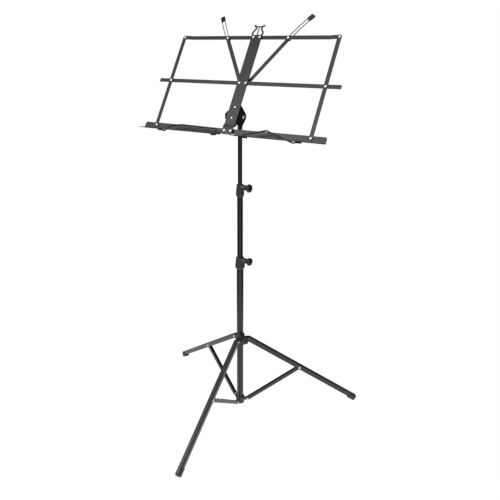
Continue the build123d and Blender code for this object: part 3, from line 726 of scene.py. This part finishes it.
@dataclass
class StarKnob:
    """A lobed clamping knob on a waisted neck, with a plugged recess in its end."""

    fitter: Fitter
    node: str
    joint: str
    radius: float
    neck_radius: float
    neck_length: float
    lobes: int
    valley: float
    phases: int = 8
    valley_power: float = 1.4
    lobe_start: float = 0.1
    lobe_core: float = 0.7
    neck_edge: float = 0.3 * MM
    neck_end: float = 0.96
    recess_depth: float = 1.6 * MM
    sharp: float = 40.0

    def build(self) -> None:
        """Model the knob and put it on its screw."""
        axis = Vector(JOINTS[self.joint]["axis"])
        centre = Vector(JOINTS[self.joint]["pos_m"])
        low, high = reach(self.node, axis)
        foot = centre + axis * (low - centre.dot(axis))
        knob = self.model(high - low)
        Bench.seat(knob, upright(axis, foot, UP))
        self.fitter.fit(knob, Slot.KNOB, self.node)

    def model(self, length: float) -> bpy.types.Object:
        """Model the knob on +Z.

        Args:
            length: How long it is with its neck.

        Returns:
            The knob, at the origin.
        """
        neck = self.neck_length
        body = self.radius
        crown = length - neck
        rings = [(0.0, self.neck_radius * self.neck_end), (self.neck_edge, self.neck_radius)]
        rings += [(neck * rise, self.neck_radius * share) for rise, share in KNOB_NECK]
        rings += [(neck + crown * rise, body * share) for rise, share in KNOB_CROWN]
        rings += [(length - self.recess_depth * fall, body * share) for fall, share in KNOB_PLUG]
        knob = Bench.turned(f"{self.node}_star", rings, self.lobes * self.phases)
        Bench.edit(knob)
        for phase in range(self.phases):
            self.press_valleys(phase, neck + self.lobe_start * crown, body * self.lobe_core)
        Bench.close()
        Bench.smooth(knob, self.sharp)
        return knob

    def press_valleys(self, phase: int, low: float, core: float) -> None:
        """Draw one upright row of points of every lobe in towards the axis.

        Args:
            phase: Which row of a lobe.
            low: The height that the lobes start at.
            core: The radius that the lobes start at.
        """
        turn = 2 * math.pi / self.lobes
        wave = (1 - math.cos(2 * math.pi * phase / self.phases)) / 2
        factor = 1 - self.valley * wave ** self.valley_power

        def in_row(spot: Vector) -> bool:
            """Say whether a point is in this row and on the lobes."""
            if spot.z < low or spot.xy.length < core:
                return False
            share = (math.atan2(spot.y, spot.x) % turn) / turn * self.phases
            return round(share) % self.phases == phase

        Bench.select(in_row, "VERT")
        bpy.ops.transform.resize(value=(factor, factor, 1), center_override=(0, 0, 0))


@dataclass(frozen=True)
class Rivet:
    """One kind of rivet: a shank between two heads, either domed or flat."""

    shank: float
    head: float
    head_height: float
    closing: float
    closing_height: float
    closing_domed: bool = False
    sides: int = 24
    dome_steps: int = 5
    dome_flat: float = 0.6
    rim: float = 0.22
    sharp: float = 50.0

    def dome(self, level: float, radius: float, height: float) -> List[Ring]:
        """Give the rings of a dome that stands on a level, from its rim to its top.

        Args:
            level: The height of its rim.
            radius: The radius of its rim.
            height: How high it is, negative for a dome that hangs down.

        Returns:
            The rings.
        """
        rings = [(level, radius), (level + self.rim * height, radius)]
        for step in range(1, self.dome_steps + 1):
            angle = step / (self.dome_steps + self.dome_flat) * math.pi / 2
            lift = self.rim + (1 - self.rim) * math.sin(angle)
            rings.append((level + lift * height, radius * math.cos(angle)))
        return rings

    def model(
        self, name: str, low: float, high: float, collars: Sequence[Collar] = ()
    ) -> bpy.types.Object:
        """Model the rivet on +Z.

        Args:
            name: The piece's name.
            low: Where the closing head starts on the shank.
            high: Where the head starts on the shank.
            collars: Start, end and radius of each collar on the shank, from the bottom up.

        Returns:
            The rivet, with its zero height at the origin.
        """
        if self.closing_domed:
            rings = self.dome(low, self.closing, -self.closing_height)[::-1]
        else:
            drop = self.closing_height
            rings = [(low - drop * fall, self.closing * share) for fall, share in CLOSING_HEAD]
        rings.append((low, self.shank))
        for start, end, radius in collars:
            rings += [(start, self.shank), (start, radius), (end, radius), (end, self.shank)]
        rings.append((high, self.shank))
        rings += self.dome(high, self.head, self.head_height)
        rivet = Bench.turned(name, rings, self.sides)
        Bench.smooth(rivet, self.sharp)
        return rivet


@dataclass
class DeskRivets:
    """The rivets that hold the desk's strips together, set by the fold joints' pivots."""

    fitter: Fitter
    layer_gap: float = 0.3 * MM
    plate: float = 1.2 * MM
    spine_plate: float = 1.5 * MM
    head_height: float = 1.1 * MM
    closing_height: float = 0.9 * MM
    pivot_shank: float = 2.0 * MM
    pivot_head: float = 3.2 * MM
    link_shank: float = 1.8 * MM
    bracket_head: float = 2.6 * MM
    arm_pin_shank: float = 1.5 * MM
    arm_pin_head: float = 3.0 * MM
    arm_pin_stop: float = 4.4 * MM
    bracket_rivets: Tuple[float, float] = (34.0 * MM, 62.8 * MM)
    arm_pin_column: float = 87.0 * MM
    arm_pin_travel: float = 5.4 * MM
    foot_step: float = 3.0 * MM

    def __post_init__(self) -> None:
        """Read the desk's axes and rows from its joints, and stack its layers."""
        self.front = Vector(JOINTS["ledge_right_fold"]["axis"])
        ledge = {side: Vector(JOINTS[f"ledge_{side}_fold"]["pos_m"]) for side in SIDES}
        mid = Vector(JOINTS["mid_bar_right_fold"]["pos_m"])
        top = Vector(JOINTS["top_bar_right_fold"]["pos_m"])
        self.across = (ledge["right"] - ledge["left"]).normalized()
        self.upward = (top - ledge["right"]).normalized()
        self.middle = (ledge["left"] + ledge["right"]) / 2
        self.spine_column = (ledge["right"] - self.middle).length
        self.mid_row = (mid - ledge["right"]).length
        self.top_row = (top - ledge["right"]).length
        side = Vector(JOINTS["link_right_fold"]["pos_m"])
        self.side_column = (side - self.middle).dot(self.across)
        gap, plate = self.layer_gap, self.plate
        self.spine_back = -self.spine_plate
        self.link_back = -(self.spine_plate + plate) / 2
        self.mid_bar_back = self.spine_back - gap - plate
        self.bracket_front = self.mid_bar_back - gap
        self.top_bar_back = self.mid_bar_back - gap - plate
        self.top_bar_front = self.top_bar_back + plate
        self.arm_front = self.top_bar_back - 2 * gap - self.closing_height
        self.arm_back = self.arm_front - plate

    def spot(self, x: float, up: float) -> Matrix:
        """Give a rivet's place on the spine's front face, x across and up it."""
        origin = self.middle + self.across * x + self.upward * up
        return upright(self.front, origin, self.across)

    def kind(self, shank: float, head: float, closing: float) -> Rivet:
        """Give one kind of the desk's rivets.

        Args:
            shank: The radius of its shank.
            head: The radius of its domed head.
            closing: The radius of its closing head.

        Returns:
            The kind of rivet.
        """
        return Rivet(shank, head, self.head_height, closing, self.closing_height)

    def build(self) -> None:
        """Model and set every rivet of the desk."""
        self.set_spine_rivets()
        for side, sign in SIDES.items():
            self.set_link_rivets(side, sign)
            self.set_arm_pin(side, sign)

    def set_spine_rivets(self) -> None:
        """Set the three pairs of pivots on the spine and the bracket's two rivets."""
        pivot = self.kind(self.pivot_shank, self.pivot_head, self.pivot_head)
        small = self.kind(self.pivot_shank, self.bracket_head, self.bracket_head)
        gap, wide = self.layer_gap, self.pivot_head
        foot_back = self.foot_step - self.spine_plate
        foot_collar = (self.mid_bar_back + self.plate + gap, foot_back, wide)
        arm_collar = (self.arm_front + gap, self.mid_bar_back - gap, wide)
        bar_collar = (self.top_bar_front + gap, self.spine_back, wide)
        rows = [
            ("ledge_pivot", self.mid_bar_back, self.foot_step, foot_collar, 0.0),
            ("arm_pivot", self.arm_back, 0.0, arm_collar, self.mid_row),
            ("bar_pivot", self.top_bar_back, 0.0, bar_collar, self.top_row),
        ]
        placed = []
        for name, back, front, collar, row in rows:
            pattern = pivot.model(name, back - gap, front, [collar])
            for sign in SIDES.values():
                placed.append(Bench.copy(pattern, self.spot(sign * self.spine_column, row)))
            Bench.discard(pattern)
        bracket_collar = (self.bracket_front, self.spine_back, self.bracket_head)
        bracket_back = self.bracket_front - self.spine_plate
        bracket = small.model("bracket_rivet", bracket_back, 0.0, [bracket_collar])
        placed += [Bench.copy(bracket, self.spot(0.0, row)) for row in self.bracket_rivets]
        Bench.discard(bracket)
        joined = Bench.join(placed, "spine_rivets_domed")
        self.fitter.fit(joined, Slot.NICKEL, "spine_rivets")

    def set_link_rivets(self, side: str, sign: int) -> None:
        """Set a link's three rivets.

        Args:
            side: Which half of the desk.
            sign: Which way that half lies.
        """
        kind = self.kind(self.link_shank, self.pivot_head, self.pivot_head)
        column = sign * self.side_column
        back = self.mid_bar_back - self.layer_gap
        rivet = kind.model("link_rivet", back, self.link_back + self.plate)
        rows = (0.0, self.mid_row, self.top_row)
        placed = [Bench.copy(rivet, self.spot(column, row)) for row in rows]
        Bench.discard(rivet)
        joined = Bench.join(placed, f"link_rivets_{side}_domed")
        self.fitter.fit(joined, Slot.NICKEL, f"link_rivets_{side}")

    def set_arm_pin(self, side: str, sign: int) -> None:
        """Set the long pin that an arm's slot runs on.

        Args:
            side: Which half of the desk.
            sign: Which way that half lies.
        """
        kind = self.kind(self.arm_pin_shank, self.arm_pin_head, self.arm_pin_stop)
        stop = self.arm_back - self.arm_pin_travel - self.layer_gap
        pin = kind.model(f"arm_pin_{side}_domed", stop, self.top_bar_front)
        Bench.seat(pin, self.spot(sign * self.arm_pin_column, self.top_row))
        self.fitter.fit(pin, Slot.NICKEL, f"arm_pin_{side}")


@dataclass
class TripodPins:
    """The pins across the legs and braces, domed at both ends."""

    fitter: Fitter
    leg_width: float = 12.2 * MM
    brace_width: float = 8.8 * MM
    side_gap: float = 0.15 * MM
    spacer_gap: float = 0.3 * MM
    wall: float = 1.2 * MM
    shank: float = 2.0 * MM
    head: float = 3.3 * MM
    head_height: float = 1.3 * MM

    def build(self) -> None:
        """Model and set every pin of the tripod."""
        kind = Rivet(self.shank, self.head, self.head_height, self.head, self.head_height, True)
        half_leg = self.leg_width / 2 + self.side_gap
        half_brace = self.brace_width / 2 + self.side_gap
        inner = self.leg_width / 2 - self.wall - self.spacer_gap
        outer = self.brace_width / 2
        spacers = [(-inner, -outer, self.head), (outer, inner, self.head)]
        hub_height = JOINTS["leg_hub_swing"]["pos_m"][2]
        upper = kind.model("leg_pin", -half_leg, half_leg)
        lower = kind.model("brace_pin", -half_brace, half_brace)
        knee = kind.model("knee_pin", -half_leg, half_leg, spacers)
        uppers, lowers = [], []
        for leg in LEGS:
            joint = JOINTS[f"brace_{leg}_fold"]
            axis, foot = Vector(joint["axis"]), Vector(joint["pos_m"])
            lowers.append(Bench.copy(lower, upright(axis, foot, UP)))
            head = Vector((foot.x, foot.y, hub_height))
            uppers.append(Bench.copy(upper, upright(axis, head, UP)))
            bend = Vector(JOINTS[f"leg_{leg}_fold"]["pos_m"])
            pin = Bench.copy(knee, upright(axis, bend, UP))
            pin.name = f"brace_pin_{leg}_domed"
            self.fitter.fit(pin, Slot.NICKEL, f"brace_pin_{leg}")
        for pattern in (upper, lower, knee):
            Bench.discard(pattern)
        self.fitter.fit(Bench.join(uppers, "leg_hub_pins_domed"), Slot.NICKEL, "leg_hub_pins")
        self.fitter.fit(Bench.join(lowers, "bottom_hub_pins_domed"), Slot.NICKEL, "bottom_hub_pins")


@dataclass
class FootCaps:
    """Rubber caps on the ends of the legs: a lip, a waisted body and a rounded nose."""

    fitter: Fitter
    leg_length: float = 382.2 * MM
    leg_width: float = 12.2 * MM
    web_height: float = 8.6 * MM
    open_depth: float = 5.2 * MM
    grip: float = 18.0 * MM
    wall: float = 1.6 * MM
    sole: float = 2.6 * MM
    end: float = 4.0 * MM
    corner: float = 4.6 * MM
    corner_segments: int = 5
    lip: float = 2.0 * MM
    nose: float = 4.6 * MM
    nose_steps: int = 6
    nose_turn: float = 72.0
    nose_shrink: float = 0.3
    socket_inset: float = 0.7
    socket_depth: float = 0.9
    sharp: float = 36.0

    def build(self) -> None:
        """Model one cap and put a copy on each leg."""
        pattern = self.model()
        for leg in LEGS:
            cap = Bench.copy(pattern, self.place(leg))
            cap.name = f"foot_{leg}_cap"
            self.level(cap)
            Bench.smooth(cap, self.sharp)
            self.fitter.fit(cap, Slot.RUBBER, f"foot_{leg}")
        Bench.discard(pattern)

    def place(self, leg: str) -> Matrix:
        """Give a cap's place: its +Z down the leg, its +Y out of the leg's web."""
        knee = Vector(JOINTS[f"leg_{leg}_fold"]["pos_m"])
        foot = Vector(JOINTS[f"brace_{leg}_fold"]["pos_m"])
        head = Vector((foot.x, foot.y, JOINTS["leg_hub_swing"]["pos_m"][2]))
        along = (knee - head).normalized()
        across = Vector(JOINTS[f"brace_{leg}_fold"]["axis"])
        return upright(along, head, across)

    def model(self) -> bpy.types.Object:
        """Model the cap down +Z.

        Returns:
            The cap, with its leg's upper pin at the origin.
        """
        depth = self.web_height + self.open_depth + self.wall + self.sole
        middle = (self.web_height + self.wall - self.open_depth - self.sole) / 2
        width = self.leg_width + 2 * self.wall
        top = self.leg_length - self.grip
        tip = self.leg_length + self.end
        Bench.clear()
        bpy.ops.mesh.primitive_plane_add(size=1.0)
        cap = bpy.context.active_object
        cap.name = "foot_cap"
        cap.scale = (width, depth, 1.0)
        bpy.ops.object.transform_apply(scale=True)
        bpy.ops.object.mode_set(mode="EDIT")
        bpy.ops.mesh.select_all(action="SELECT")
        bpy.ops.mesh.bevel(
            offset=self.corner,
            segments=self.corner_segments,
            affect="VERTICES",
            offset_type="OFFSET",
        )
        bpy.ops.mesh.select_mode(type="FACE")
        bpy.ops.mesh.select_all(action="SELECT")
        Bench.draw(self.rings(tip - top - self.nose))
        bpy.ops.mesh.select_all(action="SELECT")
        bpy.ops.mesh.normals_make_consistent(inside=False)
        self.hollow()
        Bench.close()
        Bench.seat(cap, Matrix.Translation((0, middle, top)))
        return cap

    def rings(self, shoulder: float) -> List[Ring]:
        """Give the rings of the cap: its lip, its body and its rounded nose.

        Args:
            shoulder: How far down the cap its nose starts.

        Returns:
            Height and size of each ring.
        """
        rings = [(self.lip * rise, size) for rise, size in CAP_LIP]
        rings += [(shoulder * rise, size) for rise, size in CAP_BODY]
        widest = rings[-1][1]
        full = math.radians(self.nose_turn)
        for step in range(1, self.nose_steps + 1):
            turn = step / self.nose_steps * full
            rise = math.sin(turn) / math.sin(full)
            shrink = (1 - math.cos(turn)) / (1 - math.cos(full))
            rings.append((shoulder + self.nose * rise, widest - self.nose_shrink * shrink))
        return rings

    def hollow(self) -> None:
        """Sink the socket that the leg stands in, in edit mode."""
        Bench.select(lambda spot: abs(spot.z) < TOUCH, "FACE")
        bpy.ops.mesh.inset(thickness=self.wall * self.socket_inset)
        step = {"value": (0, 0, self.grip * self.socket_depth)}
        bpy.ops.mesh.extrude_region_move(TRANSFORM_OT_translate=step)

    def level(self, cap: bpy.types.Object) -> None:
        """Wear a cap's sole flat where it stands on the floor."""
        Bench.edit(cap)
        bpy.ops.mesh.select_all(action="SELECT")
        bpy.ops.mesh.bisect(
            plane_co=(0, 0, 0), plane_no=UP, use_fill=True, clear_inner=True, threshold=TOUCH
        )
        Bench.close()


@dataclass
class Studio:
    """A white cove, a lit floor, soft boxes and the camera."""

    lens: float = 41.37
    sensor: float = 36.0
    eye: Tuple[float, float, float] = (0.77593, -1.22887, 0.99260)
    right: Tuple[float, float, float] = (0.8542, 0.5199, 0.0053)
    up: Tuple[float, float, float] = (-0.1767, 0.2807, 0.9434)
    floor_width: float = 1.25
    floor_front: float = 4.4
    floor_back: float = 0.5
    floor_glow: float = 1.1
    cove_glow: float = 1.0
    cove_start: float = 0.05
    cove_radius: float = 14.0
    cove_bend: float = 4.0
    cove_height: float = 18.0
    bend_steps: int = 8
    sides: int = 96
    room: float = 0.07
    box_size: float = 1.6
    aim: Tuple[float, float, float] = (0.0, 0.0, 0.55)

    def build(self) -> None:
        """Set up the floor, the light and the camera."""
        self.lay_floor()
        self.raise_cove()
        self.light()
        self.set_camera()

    def white(self, name: str, glow: float) -> bpy.types.Material:
        """Give a white that shows no shade.

        Args:
            name: The material's name.
            glow: How strongly it glows.

        Returns:
            The material.
        """
        graph = Graph(name)
        graph.surface(
            Base_Color=rgba(grey(0.0)),
            Specular_IOR_Level=0.0,
            Emission_Color=rgba(grey(1.0)),
            Emission_Strength=glow,
        )
        return graph.material

    def lay_floor(self) -> None:
        """Lay the strip of pale floor that the stand is on, from behind it towards the camera."""
        Bench.clear()
        bpy.ops.mesh.primitive_plane_add(size=1.0)
        floor = bpy.context.active_object
        floor.name = "floor"
        floor.scale = (self.floor_front + self.floor_back, self.floor_width, 1.0)
        bpy.ops.object.transform_apply(scale=True)
        forward = Vector((self.eye[0], self.eye[1], 0.0)).normalized()
        middle = forward * (self.floor_front - self.floor_back) / 2
        Bench.seat(floor, upright(UP, middle, forward))
        floor.data.materials.append(self.white("pale_floor", self.floor_glow))

    def raise_cove(self) -> None:
        """Turn the floor up all round into a backdrop that only the camera sees."""
        Bench.clear()
        bpy.ops.mesh.primitive_circle_add(
            vertices=self.sides, radius=self.cove_start, fill_type="NOTHING"
        )
        cove = bpy.context.active_object
        cove.name = "cove"
        rings = [(0.0, self.cove_start), (0.0, self.cove_radius - self.cove_bend)]
        for step in range(1, self.bend_steps + 1):
            turn = math.pi / 2 * step / self.bend_steps
            rise = self.cove_bend * (1 - math.cos(turn))
            rings.append((rise, self.cove_radius - self.cove_bend * (1 - math.sin(turn))))
        rings.append((self.cove_height, self.cove_radius))
        bpy.ops.object.mode_set(mode="EDIT")
        bpy.ops.mesh.select_mode(type="EDGE")
        bpy.ops.mesh.select_all(action="SELECT")
        Bench.draw(rings)
        Bench.close()
        cove.data.materials.append(self.white("white_cove", self.cove_glow))
        cove.visible_diffuse = False
        cove.visible_glossy = False
        cove.visible_shadow = False

    def light(self) -> None:
        """Hang soft boxes round the stand in a dim room."""
        world = bpy.data.worlds.new("dim_room")
        bpy.context.scene.world = world
        world.use_nodes = True
        room = world.node_tree.nodes["Background"]
        room.inputs["Color"].default_value = rgba(grey(1.0))
        room.inputs["Strength"].default_value = self.room
        for name, place, watts in SOFT_BOXES:
            self.soft_box(name, place, watts)

    def soft_box(self, name: str, place: Sequence[float], watts: float) -> None:
        """Hang one soft box that faces the stand.

        Args:
            name: The light's name.
            place: Where it hangs.
            watts: Its power.
        """
        Bench.clear()
        bpy.ops.object.light_add(type="AREA", location=place)
        lamp = bpy.context.active_object
        lamp.name = name
        lamp.data.size = self.box_size
        lamp.data.energy = watts
        sight = Vector(self.aim) - Vector(place)
        lamp.rotation_euler = sight.to_track_quat("-Z", "Y").to_euler()

    def set_camera(self) -> None:
        """Stand the camera where the photograph was taken."""
        data = bpy.data.cameras.new("camera")
        data.lens = self.lens
        data.sensor_width = self.sensor
        camera = bpy.data.objects.new("camera", data)
        bpy.context.scene.collection.objects.link(camera)
        x = Vector(self.right).normalized()
        z = x.cross(Vector(self.up)).normalized()
        y = z.cross(x)
        turned = Matrix((x, y, z)).transposed().to_4x4()
        camera.matrix_world = Matrix.Translation(self.eye) @ turned
        bpy.context.scene.camera = camera


def main() -> None:
    """Dress the stand and set up the studio."""
    logging.basicConfig(level=logging.INFO)
    bpy.context.scene.view_settings.view_transform = "Standard"
    wardrobe = Wardrobe()
    wardrobe.dress_nodes()
    fitter = Fitter(wardrobe)
    for clamp, radius in CLAMP_KNOBS.items():
        StarKnob(
            fitter,
            f"{clamp}_knob",
            f"{clamp}_knob_turn",
            radius=radius,
            neck_radius=6.6 * MM,
            neck_length=3.6 * MM,
            lobes=7,
            valley=0.2,
        ).build()
    StarKnob(
        fitter,
        "tilt_knob",
        "tilt_knob_turn",
        radius=12.0 * MM,
        neck_radius=5.5 * MM,
        neck_length=16.0 * MM,
        lobes=6,
        valley=0.22,
    ).build()
    DeskRivets(fitter).build()
    TripodPins(fitter).build()
    kinds = ("top_bar", "mid_bar", "link", "arm", "ledge")
    strips = [f"{kind}_{side}" for side in SIDES for kind in kinds]
    BrokenEdges(fitter, [*strips, "spine", "tilt_bracket"], STRIP_EDGE).build()
    channels = [f"{kind}_{leg}" for leg in LEGS for kind in ("leg", "brace")]
    BrokenEdges(fitter, channels, CHANNEL_EDGE).build()
    mouldings = ["lower_collar", "upper_collar", "leg_hub", "bottom_hub", "mast_head"]
    mouldings += [f"arm_tip_{side}" for side in SIDES]
    BrokenEdges(fitter, mouldings, MOULDED_EDGE, segments=3).build()
    FootCaps(fitter).build()
    Studio().build()
    LOG.info("%d pieces fitted", fitter.count)


if __name__ == "__main__":
    main()
